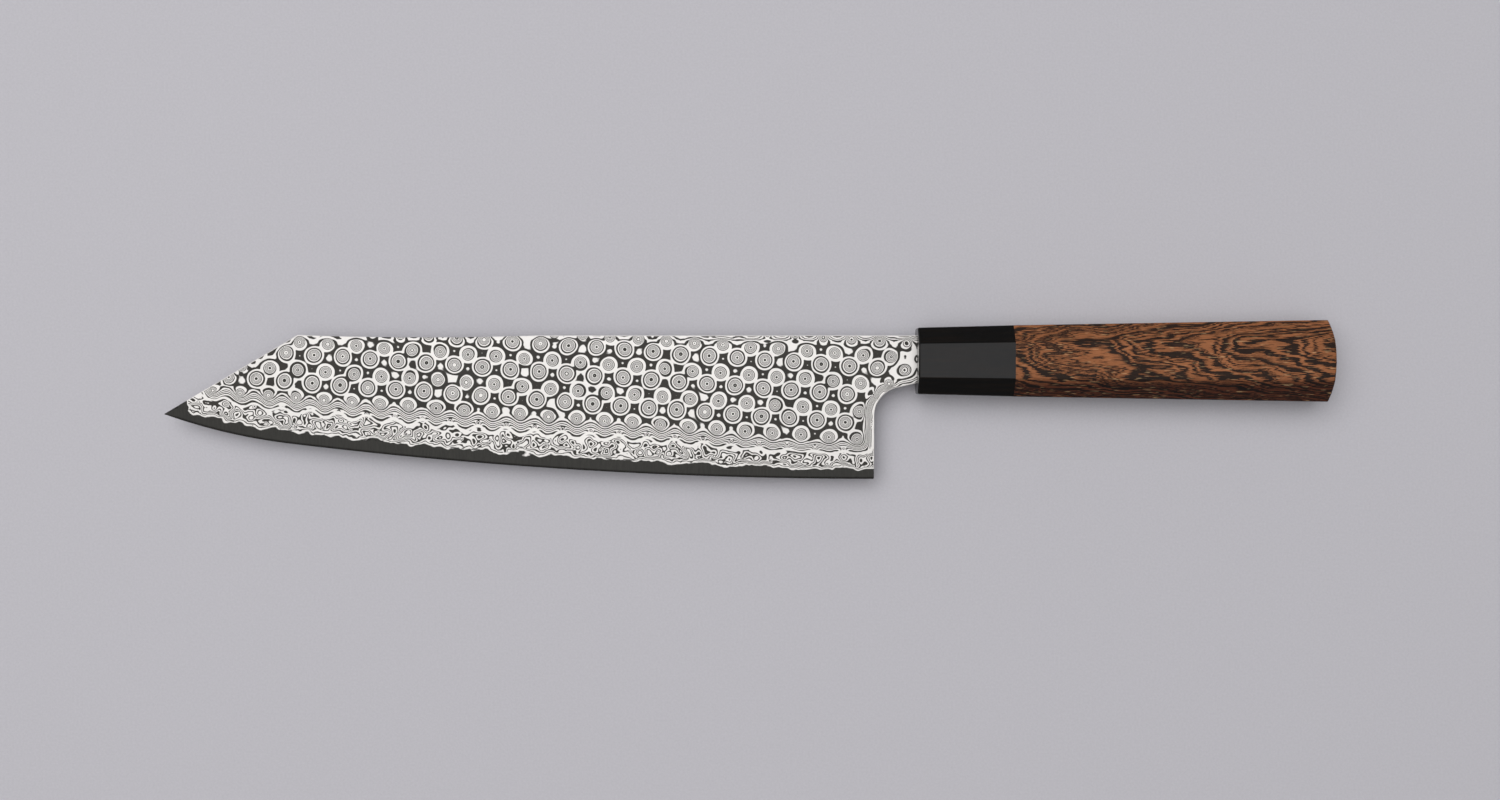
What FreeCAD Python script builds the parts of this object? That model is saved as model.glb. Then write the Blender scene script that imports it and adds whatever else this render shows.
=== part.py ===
import FreeCAD, Part
import os
import Sketcher

# Chef knife with a three-layer blade, a hidden tang and an octagonal handle.
#
# Knife frame: X runs from the heel of the blade towards the handle, Y runs up from
# the handle axis towards the spine, Z runs out of the left side of the blade.
# The knife lies on its right side, with the middle of its length and height at the
# origin and the widest part of the handle touching the floor at Z = 0.
#
# All lengths are in millimetres and all angles in degrees.

SIZES = {
    # Blade outline
    "blade_length": 240.0,            # tip to heel
    "blade_height": 48.4,             # heel to spine
    "spine_rise": 8.6,                # spine above the handle axis
    "clip_length": 45.3,              # straight clipped point, measured along X
    "clip_rise": 0.2,                 # clip corner above the spine
    "spine_hollow_length": 80.0,      # shallow hollow behind the clip corner
    "spine_hollow_radius": 1150.0,
    "edge_radius": 1640.0,            # main sweep of the cutting edge
    "belly_length": 42.0,             # quicker curve next to the tip, along X
    "belly_radius": 196.0,
    # Blade section
    "spine_thickness": 2.9,           # at the heel
    "clip_thickness": 1.9,            # at the clip corner
    "tip_thickness": 1.2,             # at the spine line above the tip
    "edge_land": 0.24,                # flat left on the cutting edge
    "bevel_height": 6.6,              # flat bevel above the edge
    "bevel_thickness": 0.84,          # at the top of the bevel
    "grind_radius": 1150.0,           # convex curve of the flanks above the bevel
    "core_thickness": 0.6,            # hard middle layer
    # Neck and tang
    "neck_length": 14.4,              # heel to ferrule
    "neck_thickness": 3.0,
    "neck_drop": 7.4,                 # neck underside below the axis at the ferrule
    "neck_angle": 13.0,               # slope of the neck underside
    "choil_radius": 10.0,
    "tang_tip_height": 6.0,
    "tang_tip_thickness": 2.0,
    "tang_shoulder": 4.0,             # full neck height kept inside the ferrule
    "tang_step": 1.0,                 # sloping step from the neck to the tang, along X
    # Handle
    "handle_length": 140.0,           # ferrule included
    "ferrule_length": 32.2,
    "front_height": 22.3,             # octagon heights along Y
    "joint_height": 23.9,
    "butt_height": 27.5,
    "front_thickness": 19.0,          # octagon widths along Z
    "joint_thickness": 20.0,
    "butt_thickness": 22.0,
    "corner_share": 0.245,            # corner cut as a share of the octagon height
    "corner_ratio": 0.9,              # corner cut along Z over corner cut along Y
    "facet_spare": 0.3,               # planed off the two side facets
    "arris_radius": 0.6,
    "butt_dome_radius": 47.0,
    # Inside the handle
    "ferrule_wall": 6.0,              # front wall that carries the neck slot
    "bore_diameter": 15.0,
    "butt_wall": 27.8,                # handle behind the bore, drill point included
    "drill_point_depth": 4.5,
    "dowel_end_gap": 1.5,
    "dowel_end_wall": 16.0,           # dowel behind the tang
    "dowel_side_wall": 1.65,          # dowel above and below the tang slot
    "dowel_clearance": 0.15,          # all round the dowel
    "slot_clearance": 0.2,            # all round the neck and tang
    "slot_end_gap": 1.0,
    "adhesive_recess": 0.3,           # adhesive stands back from the ferrule front
    # Spare material that is cut away
    "stock_margin": 3.0,
}

XY = "XY_Plane"
XZ = "XZ_Plane"
YZ = "YZ_Plane"
NEAR = 1e-6                           # places closer together than this are the same
LENGTHWISE_SHARE = 0.9                # least part of a lengthwise edge that runs along X
POINT_OVERRUN = 1.15                  # clip line drawn past the tip, as a share of its length
HEEL_TO_CLIP_SHARES = (0.2, 0.4, 0.6) # blade sections between the heel and the clip corner
CLIP_TO_TIP_SHARES = (0.5, 1.0, 1.2)  # blade sections from the clip corner to past the tip

doc = FreeCAD.newDocument("chef_knife")


# ---------------------------------------------------------------- size sheet

def fill_sheet(sizes):
    sheet = doc.addObject("Spreadsheet::Sheet", "Sizes")
    for row, (alias, value) in enumerate(sizes.items(), start=1):
        sheet.set(f"A{row}", alias)
        sheet.set(f"B{row}", str(value))
        sheet.setAlias(f"B{row}", alias)
    doc.recompute()
    return sheet


sizes = fill_sheet(SIZES)


def size(alias):
    return f"Sizes.{alias}"


def number(expression):
    return float(sizes.evalExpression(expression))


# ------------------------------------------------------------ shared formulas

HEEL_Y = f"({size('spine_rise')} - {size('blade_height')})"
FERRULE_X = size("neck_length")
WALL_X = f"({FERRULE_X} + {size('ferrule_wall')})"
JOINT_X = f"({FERRULE_X} + {size('ferrule_length')})"
BUTT_X = f"({FERRULE_X} + {size('handle_length')})"
BORE_END_X = f"({BUTT_X} - {size('butt_wall')})"
DOWEL_END_X = f"({BORE_END_X} - {size('dowel_end_gap')})"
TANG_END_X = f"({DOWEL_END_X} - {size('dowel_end_wall')})"
TANG_LENGTH = f"({TANG_END_X} - {FERRULE_X})"
SOCKET_END_X = f"({TANG_END_X} + {size('slot_end_gap')})"
BORE_RADIUS = f"({size('bore_diameter')} / 2)"
DOWEL_RADIUS = f"({BORE_RADIUS} - {size('dowel_clearance')})"
TANG_ROOT_HEIGHT = f"(2 * ({DOWEL_RADIUS} - {size('dowel_side_wall')} - {size('slot_clearance')}))"


def main_sweep_y(distance):
    """Edge height at a distance ahead of the heel, on the main sweep."""
    radius = size("edge_radius")
    return f"({HEEL_Y} + {radius} - sqrt({radius}^2 - ({distance})^2))"


def edge_y(distance):
    """Edge height on the belly, which leaves the main sweep along its tangent."""
    start = f"({size('blade_length')} - {size('belly_length')})"
    slope_sine = f"({start} / {size('edge_radius')})"
    radius = size("belly_radius")
    centre_x = f"({start} - {radius} * {slope_sine})"
    centre_y = f"({main_sweep_y(start)} + {radius} * sqrt(1 - {slope_sine}^2))"
    return f"({centre_y} - sqrt({radius}^2 - ({distance} - {centre_x})^2))"


# ------------------------------------------------------------- sketch helpers

def add_body(name):
    """Body that stands in the knife frame, moved to where the knife lies."""
    body = doc.addObject("PartDesign::Body", name)
    body.Label = name
    shift_x = f"({size('blade_length')} - {BUTT_X}) / 2"
    shift_y = f"0 - ({HEEL_Y} + {size('butt_height')} / 2) / 2"
    body.setExpression("Placement.Base.x", shift_x)
    body.setExpression("Placement.Base.y", shift_y)
    body.setExpression("Placement.Base.z", f"{size('butt_thickness')} / 2")
    return body


def add_sketch(body, name, role, offset="0"):
    sketch = body.newObject("Sketcher::SketchObject", name)
    plane = next(item for item in body.Origin.OriginFeatures if item.Role == role)
    sketch.AttachmentSupport = [(plane, "")]
    sketch.MapMode = "FlatFace"
    sketch.setExpression("AttachmentOffset.Base.z", offset)
    return sketch


def bind(sketch, constraint, expression):
    index = sketch.addConstraint(constraint)
    sketch.setExpression(f"Constraints[{index}]", expression)


def pin(sketch, element, end, corner):
    """Ties one end of a line or arc to a corner given as two expressions."""
    for direction, expression in zip(("DistanceX", "DistanceY"), corner):
        place = Sketcher.Constraint(direction, -1, 1, element, end, number(expression))
        bind(sketch, place, expression)


def point(corner):
    return FreeCAD.Vector(number(corner[0]), number(corner[1]), 0)


def arc_through(start, end, radius):
    """Arc between two points. A positive radius bulges to the right of the way."""
    chord = end - start
    bulge = FreeCAD.Vector(chord.y, -chord.x, 0).normalize()
    half = chord.Length / 2
    rise = abs(radius) - (radius * radius - half * half) ** 0.5
    side = 1 if radius > 0 else -1
    middle = (start + end) / 2 + bulge * rise * side
    return Part.Arc(start, middle, end)


def add_outline(sketch, corners, arcs=None):
    """Closed outline. An arc is keyed by its first corner, with size and side."""
    arcs = arcs or {}
    for index, corner in enumerate(corners):
        following = corners[(index + 1) % len(corners)]
        start = point(corner)
        end = point(following)
        if index not in arcs:
            element = sketch.addGeometry(Part.LineSegment(start, end))
            pin(sketch, element, 1, corner)
            pin(sketch, element, 2, following)
            continue
        alias, side = arcs[index]
        radius = number(size(alias))
        element = sketch.addGeometry(arc_through(start, end, side * radius))
        drawn_from_start = (sketch.Geometry[element].StartPoint - start).Length < NEAR
        pin(sketch, element, 1 if drawn_from_start else 2, corner)
        pin(sketch, element, 2 if drawn_from_start else 1, following)
        bind(sketch, Sketcher.Constraint("Radius", element, radius), size(alias))


def add_rectangle(sketch, low, high):
    corners = [low, (high[0], low[1]), high, (low[0], high[1])]
    add_outline(sketch, corners)


def add_loft(body, kind, name, sketches, ruled):
    loft = body.newObject(f"PartDesign::{kind}Loft", name)
    loft.Profile = sketches[0]
    loft.Sections = sketches[1:]
    loft.Ruled = ruled
    doc.recompute()
    return loft


def add_turned(body, kind, name, sketch):
    turned = body.newObject(f"PartDesign::{kind}", name)
    turned.Profile = sketch
    turned.ReferenceAxis = (sketch, ["H_Axis"])
    turned.Angle = 360
    doc.recompute()
    return turned


def add_boolean(kind, name, base, tool):
    result = doc.addObject(f"Part::{kind}", name)
    result.Label = name
    result.Base = base
    result.Tool = tool
    doc.recompute()
    return result


def round_edges(body, name, radius, wanted):
    """Rounds every edge of the body so far for which wanted(edge) is true."""
    base = body.Tip
    picked = [f"Edge{i}" for i, edge in enumerate(base.Shape.Edges, start=1) if wanted(edge)]
    fillet = body.newObject("PartDesign::Fillet", name)
    fillet.Base = (base, picked)
    fillet.setExpression("Radius", radius)
    doc.recompute()
    return fillet


# --------------------------------------------------------------------- blade

def add_grind_section(body, name, distance, thickness):
    """Blade section ahead of the heel: convex flanks, flat bevels and edge land."""
    sketch = add_sketch(body, name, YZ, f"0 - ({distance})")
    in_belly = number(f"{size('blade_length')} - {size('belly_length')} - ({distance})") < 0
    low = edge_y(distance) if in_belly else main_sweep_y(distance)
    high = f"({size('spine_rise')} + {size('stock_margin')})"
    bevel_top = f"({low} + {size('bevel_height')})"
    half_spine = f"({thickness} / 2)"
    half_bevel = f"({size('bevel_thickness')} / 2)"
    half_edge = f"({size('edge_land')} / 2)"
    corners = [
        (high, f"0 - {half_spine}"),
        (high, half_spine),
        (bevel_top, half_bevel),
        (low, half_edge),
        (low, f"0 - {half_edge}"),
        (bevel_top, f"0 - {half_bevel}"),
    ]
    add_outline(sketch, corners, {1: ("grind_radius", 1), 5: ("grind_radius", 1)})
    return sketch


def add_grind(name):
    """Ground blade blank: even edge, convex flanks, thinner towards the tip."""
    body = add_body(name)
    length = size("blade_length")
    to_clip = f"({length} - {size('clip_length')})"
    taper = f"({size('spine_thickness')} - {size('clip_thickness')}) / {to_clip}"
    tip_taper = f"({size('clip_thickness')} - {size('tip_thickness')}) / {size('clip_length')}"
    neck = (f"0 - {FERRULE_X}", size("neck_thickness"))
    tang_end = (f"0 - ({TANG_END_X} + {size('stock_margin')})", size("tang_tip_thickness"))
    blade = [neck, ("0", size("spine_thickness"))]
    for share in HEEL_TO_CLIP_SHARES:
        distance = f"({length} * {share})"
        blade.append((distance, f"({size('spine_thickness')} - {distance} * {taper})"))
    blade.append((to_clip, size("clip_thickness")))
    for share in CLIP_TO_TIP_SHARES:
        beyond = f"{size('clip_length')} * {share}"
        thickness = f"({size('clip_thickness')} - {beyond} * {tip_taper})"
        blade.append((f"({to_clip} + {beyond})", thickness))
    for part, stations, ruled in (("blade", blade, False), ("tang", [tang_end, neck], True)):
        sketches = [
            add_grind_section(body, f"{name}_{part}_{index}", distance, thickness)
            for index, (distance, thickness) in enumerate(stations)
        ]
        add_loft(body, "Additive", f"{name}_{part}_loft", sketches, ruled)
    return body


def layer_outline():
    """Outline of the flat blank, with spare material left below the edge."""
    length = size("blade_length")
    spine = size("spine_rise")
    angle = size("neck_angle")
    radius = size("choil_radius")
    clip_x = f"({size('clip_length')} - {length})"
    clip_y = f"({spine} + {size('clip_rise')})"
    point_x = f"({clip_x} - {size('clip_length')} * {POINT_OVERRUN})"
    point_y = f"({clip_y} - ({clip_y} - {edge_y(length)}) * {POINT_OVERRUN})"
    hollow_end_x = f"({clip_x} + {size('spine_hollow_length')})"
    shoulder_x = f"({FERRULE_X} + {size('tang_shoulder')})"
    step_x = f"({shoulder_x} + {size('tang_step')})"
    choil_x = f"({radius} * (1 - sin({angle})))"
    choil_y = f"(0 - {size('neck_drop')} - ({FERRULE_X} - {choil_x}) * tan({angle}))"
    heel_top_y = f"({choil_y} - {radius} * cos({angle}))"
    below_y = f"({HEEL_Y} - {size('stock_margin')})"
    corners = [
        (point_x, point_y),
        (clip_x, clip_y),
        (hollow_end_x, spine),
        (shoulder_x, spine),
        (step_x, f"({TANG_ROOT_HEIGHT} / 2)"),
        (TANG_END_X, f"({size('tang_tip_height')} / 2)"),
        (TANG_END_X, f"(0 - {size('tang_tip_height')} / 2)"),
        (step_x, f"(0 - {TANG_ROOT_HEIGHT} / 2)"),
        (shoulder_x, f"(0 - {size('neck_drop')})"),
        (FERRULE_X, f"(0 - {size('neck_drop')})"),
        (choil_x, choil_y),
        ("0", heel_top_y),
        ("0", below_y),
        (point_x, below_y),
    ]
    arcs = {
        1: ("spine_hollow_radius", 1),
        10: ("choil_radius", 1),
    }
    return corners, arcs


def add_layer(name, offset, thickness, midplane):
    """Flat layer of the blade blank, before the flanks are ground."""
    body = add_body(name)
    sketch = add_sketch(body, f"{name}_outline", XY, offset)
    corners, arcs = layer_outline()
    add_outline(sketch, corners, arcs)
    pad = body.newObject("PartDesign::Pad", f"{name}_pad")
    pad.Profile = sketch
    pad.Midplane = midplane
    pad.setExpression("Length", thickness)
    doc.recompute()
    return body


half_core = f"({size('core_thickness')} / 2)"
outer_layer = f"({size('neck_thickness')} / 2 + {size('stock_margin')})"
grind = add_grind("blade_grind")
core_layer = add_layer("core_layer", "0", size("core_thickness"), True)
left_layer = add_layer("left_layer", half_core, outer_layer, False)
right_layer = add_layer("right_layer", f"0 - {half_core} - {outer_layer}", outer_layer, False)

blade_core = add_boolean("Common", "blade_core", grind, core_layer)
left_cladding = add_boolean("Common", "left_cladding", grind, left_layer)
right_cladding = add_boolean("Common", "right_cladding", grind, right_layer)

blade = doc.addObject("Part::MultiFuse", "blade")
blade.Shapes = [blade_core, left_cladding, right_cladding]
doc.recompute()


# -------------------------------------------------------------------- handle

def add_octagon(body, name, offset, height, thickness):
    """Octagon with spare material on its two side facets, which are planed later."""
    sketch = add_sketch(body, name, YZ, offset)
    spare = size("facet_spare")
    ratio = size("corner_ratio")
    half_height = f"({height} / 2)"
    half_thickness = f"({thickness} / 2)"
    cut = f"({height} * {size('corner_share')})"
    inner_y = f"({half_height} - {cut} - {spare} / {ratio})"
    inner_z = f"({half_thickness} - {cut} * {ratio})"
    upper_right = [(half_height, inner_z), (inner_y, f"({half_thickness} + {spare})")]
    upper_left = [(f"0 - {y}", z) for y, z in reversed(upper_right)]
    lower_left = [(f"0 - {y}", f"0 - {z}") for y, z in upper_right]
    lower_right = [(y, f"0 - {z}") for y, z in reversed(upper_right)]
    add_outline(sketch, upper_right + upper_left + lower_left + lower_right)
    return sketch


def plane_side_facets(body, front, rear):
    """Planes both side facets. front and rear are each an X and a thickness."""
    spare = size("stock_margin")
    slope = f"(({rear[1]} - {front[1]}) / 2 / ({rear[0]} - {front[0]}))"
    low_x = f"({front[0]} - {spare})"
    high_x = f"({rear[0]} + {spare})"
    low_z = f"({front[1]} / 2 - {slope} * {spare})"
    high_z = f"({rear[1]} / 2 + {slope} * {spare})"
    outside = f"({rear[1]} / 2 + 2 * {spare})"
    sketch = add_sketch(body, f"{body.Name}_side_cuts", XZ)
    for sign in ("", "0 - "):
        corners = [
            (low_x, f"{sign}{low_z}"),
            (high_x, f"{sign}{high_z}"),
            (high_x, f"{sign}{outside}"),
            (low_x, f"{sign}{outside}"),
        ]
        add_outline(sketch, corners)
    pocket = body.newObject("PartDesign::Pocket", f"{body.Name}_side_facets")
    pocket.Profile = sketch
    pocket.Midplane = True
    pocket.setExpression("Length", f"2 * {size('butt_height')}")
    doc.recompute()


def runs_lengthwise(edge):
    ends = edge.Vertexes[-1].Point - edge.Vertexes[0].Point
    return abs(ends.x) > LENGTHWISE_SHARE * ends.Length


def lies_at(x_expression):
    x = number(x_expression)

    def test(edge):
        return all(abs(vertex.X - x) < NEAR for vertex in edge.Vertexes)

    return test


def add_slot_section(body, name, offset, height, thickness, centre="0"):
    """Rectangle around the neck or tang, with the slot clearance all round."""
    sketch = add_sketch(body, name, YZ, offset)
    half_height = f"({height} / 2 + {size('slot_clearance')})"
    half_thickness = f"({thickness} / 2 + {size('slot_clearance')})"
    low = (f"({centre} - {half_height})", f"(0 - {half_thickness})")
    high = (f"({centre} + {half_height})", half_thickness)
    add_rectangle(sketch, low, high)
    return sketch


NECK_HEIGHT = f"({size('spine_rise')} + {size('neck_drop')})"
NECK_CENTRE = f"(({size('spine_rise')} - {size('neck_drop')}) / 2)"


def neck_slot_section(body, name, offset):
    return add_slot_section(body, name, offset, NECK_HEIGHT, size("neck_thickness"), NECK_CENTRE)


def tang_socket_sections(body):
    root = add_slot_section(
        body, f"{body.Name}_root", WALL_X, TANG_ROOT_HEIGHT, size("neck_thickness")
    )
    tip = add_slot_section(
        body, f"{body.Name}_tip", SOCKET_END_X, size("tang_tip_height"), size("tang_tip_thickness")
    )
    return [root, tip]


def add_ferrule():
    body = add_body("ferrule")
    front = add_octagon(body, "ferrule_front", FERRULE_X, size("front_height"), size("front_thickness"))
    rear = add_octagon(body, "ferrule_rear", JOINT_X, size("joint_height"), size("joint_thickness"))
    add_loft(body, "Additive", "ferrule_loft", [rear, front], True)
    plane_side_facets(
        body, (FERRULE_X, size("front_thickness")), (JOINT_X, size("joint_thickness"))
    )
    is_front = lies_at(FERRULE_X)
    radius = size("arris_radius")
    round_edges(body, "ferrule_arrises", radius, lambda edge: runs_lengthwise(edge) or is_front(edge))
    bore = add_sketch(body, "ferrule_bore_section", XY)
    add_rectangle(bore, (WALL_X, "0"), (f"({JOINT_X} + {size('stock_margin')})", BORE_RADIUS))
    add_turned(body, "Groove", "ferrule_bore", bore)
    slot = body.newObject("PartDesign::Pocket", "ferrule_slot")
    slot.Profile = neck_slot_section(body, "ferrule_slot_section", f"({FERRULE_X} - {size('stock_margin')})")
    slot.Reversed = True
    slot.setExpression("Length", f"{size('ferrule_wall')} + 2 * {size('stock_margin')}")
    doc.recompute()
    return body


def add_butt_dome(body):
    """Turns the end of the handle to a shallow dome."""
    radius = size("butt_dome_radius")
    reach = size("butt_height")
    rim_x = f"({BUTT_X} - {radius} + sqrt({radius}^2 - {reach}^2))"
    clear_x = f"({BUTT_X} + {size('stock_margin')})"
    sketch = add_sketch(body, "butt_dome_section", XY)
    corners = [(BUTT_X, "0"), (rim_x, reach), (clear_x, reach), (clear_x, "0")]
    add_outline(sketch, corners, {0: ("butt_dome_radius", 1)})
    return add_turned(body, "Groove", "butt_dome", sketch)


def add_handle_body():
    body = add_body("handle_body")
    front = add_octagon(body, "handle_front", JOINT_X, size("joint_height"), size("joint_thickness"))
    rear = add_octagon(body, "handle_rear", BUTT_X, size("butt_height"), size("butt_thickness"))
    add_loft(body, "Additive", "handle_loft", [rear, front], True)
    plane_side_facets(body, (JOINT_X, size("joint_thickness")), (BUTT_X, size("butt_thickness")))
    add_butt_dome(body)
    is_joint = lies_at(JOINT_X)
    round_edges(body, "handle_arrises", size("arris_radius"), lambda edge: not is_joint(edge))
    bore = add_sketch(body, "handle_bore_section", XY)
    corners = [
        (f"({JOINT_X} - {size('stock_margin')})", "0"),
        (f"({JOINT_X} - {size('stock_margin')})", BORE_RADIUS),
        (BORE_END_X, BORE_RADIUS),
        (f"({BORE_END_X} + {size('drill_point_depth')})", "0"),
    ]
    add_outline(bore, corners)
    add_turned(body, "Groove", "handle_bore", bore)
    return body


def add_handle_dowel():
    body = add_body("handle_dowel")
    section = add_sketch(body, "dowel_section", XY)
    add_rectangle(section, (WALL_X, "0"), (DOWEL_END_X, DOWEL_RADIUS))
    add_turned(body, "Revolution", "dowel_round", section)
    add_loft(body, "Subtractive", "dowel_socket", tang_socket_sections(body), True)
    return body


def add_tang_fill():
    """Everything inside the neck slot and the dowel socket, tang included."""
    body = add_body("tang_fill")
    front_x = f"({FERRULE_X} + {size('adhesive_recess')})"
    pad = body.newObject("PartDesign::Pad", "slot_fill")
    pad.Profile = neck_slot_section(body, "slot_fill_section", front_x)
    pad.setExpression("Length", f"{size('ferrule_wall')} - {size('adhesive_recess')}")
    doc.recompute()
    add_loft(body, "Additive", "socket_fill", tang_socket_sections(body), True)
    return body


def add_dowel_adhesive():
    """Sleeve between the dowel and the bores, with the drill point filled."""
    body = add_body("dowel_adhesive")
    section = add_sketch(body, "sleeve_section", XY)
    corners = [
        (WALL_X, DOWEL_RADIUS),
        (WALL_X, BORE_RADIUS),
        (BORE_END_X, BORE_RADIUS),
        (f"({BORE_END_X} + {size('drill_point_depth')})", "0"),
        (DOWEL_END_X, "0"),
        (DOWEL_END_X, DOWEL_RADIUS),
    ]
    add_outline(section, corners)
    add_turned(body, "Revolution", "sleeve", section)
    return body


ferrule = add_ferrule()
handle_body = add_handle_body()
handle_dowel = add_handle_dowel()
tang_adhesive = add_boolean("Cut", "tang_adhesive", add_tang_fill(), blade)
dowel_adhesive = add_dowel_adhesive()


# -------------------------------------------------------------- check, export

NODES = [
    blade_core,
    left_cladding,
    right_cladding,
    ferrule,
    handle_body,
    handle_dowel,
    tang_adhesive,
    dowel_adhesive,
]


def check_document():
    doc.recompute()
    for item in doc.Objects:
        if "Invalid" in item.State or "Error" in item.State:
            raise RuntimeError(f"{item.Name} did not compute: {item.State}")
    for node in NODES:
        shape = node.Shape
        if shape.isNull() or not shape.isValid():
            raise RuntimeError(f"{node.Label} has no valid shape")
        if len(shape.Solids) != 1:
            raise RuntimeError(f"{node.Label} has {len(shape.Solids)} solids instead of 1")


def export_nodes():
    os.makedirs("parts", exist_ok=True)
    for node in NODES:
        node.Shape.exportStep(f"parts/{node.Label}.step")
        box = node.Shape.BoundBox
        print(f"{node.Label:16s} {node.Shape.Volume:10.1f} mm3  X {box.XMin:8.2f} {box.XMax:8.2f}")


check_document()
export_nodes()
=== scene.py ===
import math
import bmesh
import bpy
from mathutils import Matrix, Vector


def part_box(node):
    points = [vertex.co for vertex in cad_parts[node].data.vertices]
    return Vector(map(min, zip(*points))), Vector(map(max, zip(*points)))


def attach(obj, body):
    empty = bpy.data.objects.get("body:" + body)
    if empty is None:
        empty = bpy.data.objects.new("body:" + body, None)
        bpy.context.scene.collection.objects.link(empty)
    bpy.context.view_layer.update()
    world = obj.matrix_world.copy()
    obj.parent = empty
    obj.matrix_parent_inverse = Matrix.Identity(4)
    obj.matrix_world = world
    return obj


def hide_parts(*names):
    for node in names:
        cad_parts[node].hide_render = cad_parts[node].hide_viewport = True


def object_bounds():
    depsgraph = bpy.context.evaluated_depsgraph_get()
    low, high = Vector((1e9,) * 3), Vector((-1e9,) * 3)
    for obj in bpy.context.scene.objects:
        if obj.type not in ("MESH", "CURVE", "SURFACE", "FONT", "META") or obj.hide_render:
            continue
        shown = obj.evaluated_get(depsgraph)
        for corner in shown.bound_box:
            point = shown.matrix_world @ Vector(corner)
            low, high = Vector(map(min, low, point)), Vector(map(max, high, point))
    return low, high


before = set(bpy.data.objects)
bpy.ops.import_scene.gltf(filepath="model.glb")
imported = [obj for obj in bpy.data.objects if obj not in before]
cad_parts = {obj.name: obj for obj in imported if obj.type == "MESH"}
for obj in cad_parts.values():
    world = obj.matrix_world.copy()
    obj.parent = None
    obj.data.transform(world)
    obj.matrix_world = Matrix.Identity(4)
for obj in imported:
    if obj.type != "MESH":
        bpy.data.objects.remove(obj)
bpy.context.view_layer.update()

MM = 0.001

# ------------------------------------------------------- places from the frame

core_low, core_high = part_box("blade_core")
ferrule_low, ferrule_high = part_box("ferrule")
handle_low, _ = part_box("handle_body")

NECK_LENGTH = 14.4
AXIS_Y = (ferrule_low.y + ferrule_high.y) / 2 / MM
MIDDLE_Z = (core_low.z + core_high.z) / 2 / MM
HEEL_X = ferrule_low.x / MM - NECK_LENGTH

# Blade sizes in millimetres, from the heel along X and from the handle axis along Y.
BLADE_LENGTH = HEEL_X - core_low.x / MM
HEEL_Y = core_low.y / MM - AXIS_Y
TANG_END = core_high.x / MM - HEEL_X
HALF_CORE = (core_high.z - core_low.z) / 2 / MM
SPINE_Y = 8.6
CLIP_LENGTH = 45.3
CLIP_X = CLIP_LENGTH - BLADE_LENGTH
CLIP_RISE = 0.2
HOLLOW_LENGTH = 80.0
HOLLOW_DEPTH = 0.7
EDGE_RADIUS = 1640.0
BELLY_LENGTH = 42.0
BELLY_START = BLADE_LENGTH - BELLY_LENGTH
BELLY_RADIUS = 196.0
HALF_EDGE = 0.1
BEVEL_HEIGHT = 6.6
HALF_BEVEL = 0.42
FLANK_RADIUS = 1150.0
HALF_SPINE = ((-BLADE_LENGTH, 0.6), (CLIP_X, 0.95), (0.0, 1.45), (NECK_LENGTH, 1.5), (TANG_END, 1.0))
STOCK_MARGIN = 3.0
SECTION_TOP = SPINE_Y + STOCK_MARGIN
CHOIL_RADIUS = 10.0
NECK_SLOPE = math.radians(13.0)
NECK_DROP = 7.4
HEEL_CORNER = 0.4
TANG_SHOULDER = 4.0
TANG_STEP = 1.0
SHOULDER_X = NECK_LENGTH + TANG_SHOULDER
TANG_START = SHOULDER_X + TANG_STEP
TANG_ROOT = 5.5
TANG_TIP = 3.0


# -------------------------------------------------------------- blade outline

def ease(value, table):
    """Straight-line lookup in a table of (place, value) pairs."""
    if value <= table[0][0]:
        return table[0][1]
    for (x0, y0), (x1, y1) in zip(table, table[1:]):
        if value <= x1:
            return y0 + (y1 - y0) * (value - x0) / (x1 - x0)
    return table[-1][1]


def edge_y(x):
    """Cutting edge: a long sweep that turns into a quicker belly near the point."""
    distance = -x
    if distance <= BELLY_START:
        return HEEL_Y + EDGE_RADIUS - math.sqrt(EDGE_RADIUS ** 2 - distance ** 2)
    slope_sine = BELLY_START / EDGE_RADIUS
    centre_x = BELLY_START - BELLY_RADIUS * slope_sine
    start_y = HEEL_Y + EDGE_RADIUS - math.sqrt(EDGE_RADIUS ** 2 - BELLY_START ** 2)
    centre_y = start_y + BELLY_RADIUS * math.sqrt(1 - slope_sine ** 2)
    return centre_y - math.sqrt(BELLY_RADIUS ** 2 - (distance - centre_x) ** 2)


CHOIL_X = CHOIL_RADIUS * (1 - math.sin(NECK_SLOPE))
CHOIL_Y = -NECK_DROP - (NECK_LENGTH - CHOIL_X) * math.tan(NECK_SLOPE)
HEEL_TOP_Y = CHOIL_Y - CHOIL_RADIUS * math.cos(NECK_SLOPE)


def top_y(x):
    """Upper outline: the clipped point, the spine with its shallow hollow, and the tang."""
    clip_y = SPINE_Y + CLIP_RISE
    if x <= CLIP_X:
        share = (x + BLADE_LENGTH) / (CLIP_X + BLADE_LENGTH)
        tip_y = edge_y(-BLADE_LENGTH)
        return tip_y + (clip_y - tip_y) * share
    if x <= CLIP_X + HOLLOW_LENGTH:
        share = (x - CLIP_X) / HOLLOW_LENGTH
        return clip_y - CLIP_RISE * share - 4 * HOLLOW_DEPTH * share * (1 - share)
    tang = ((SHOULDER_X, SPINE_Y), (TANG_START, TANG_ROOT), (TANG_END, TANG_TIP))
    return ease(x, tang)


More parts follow.
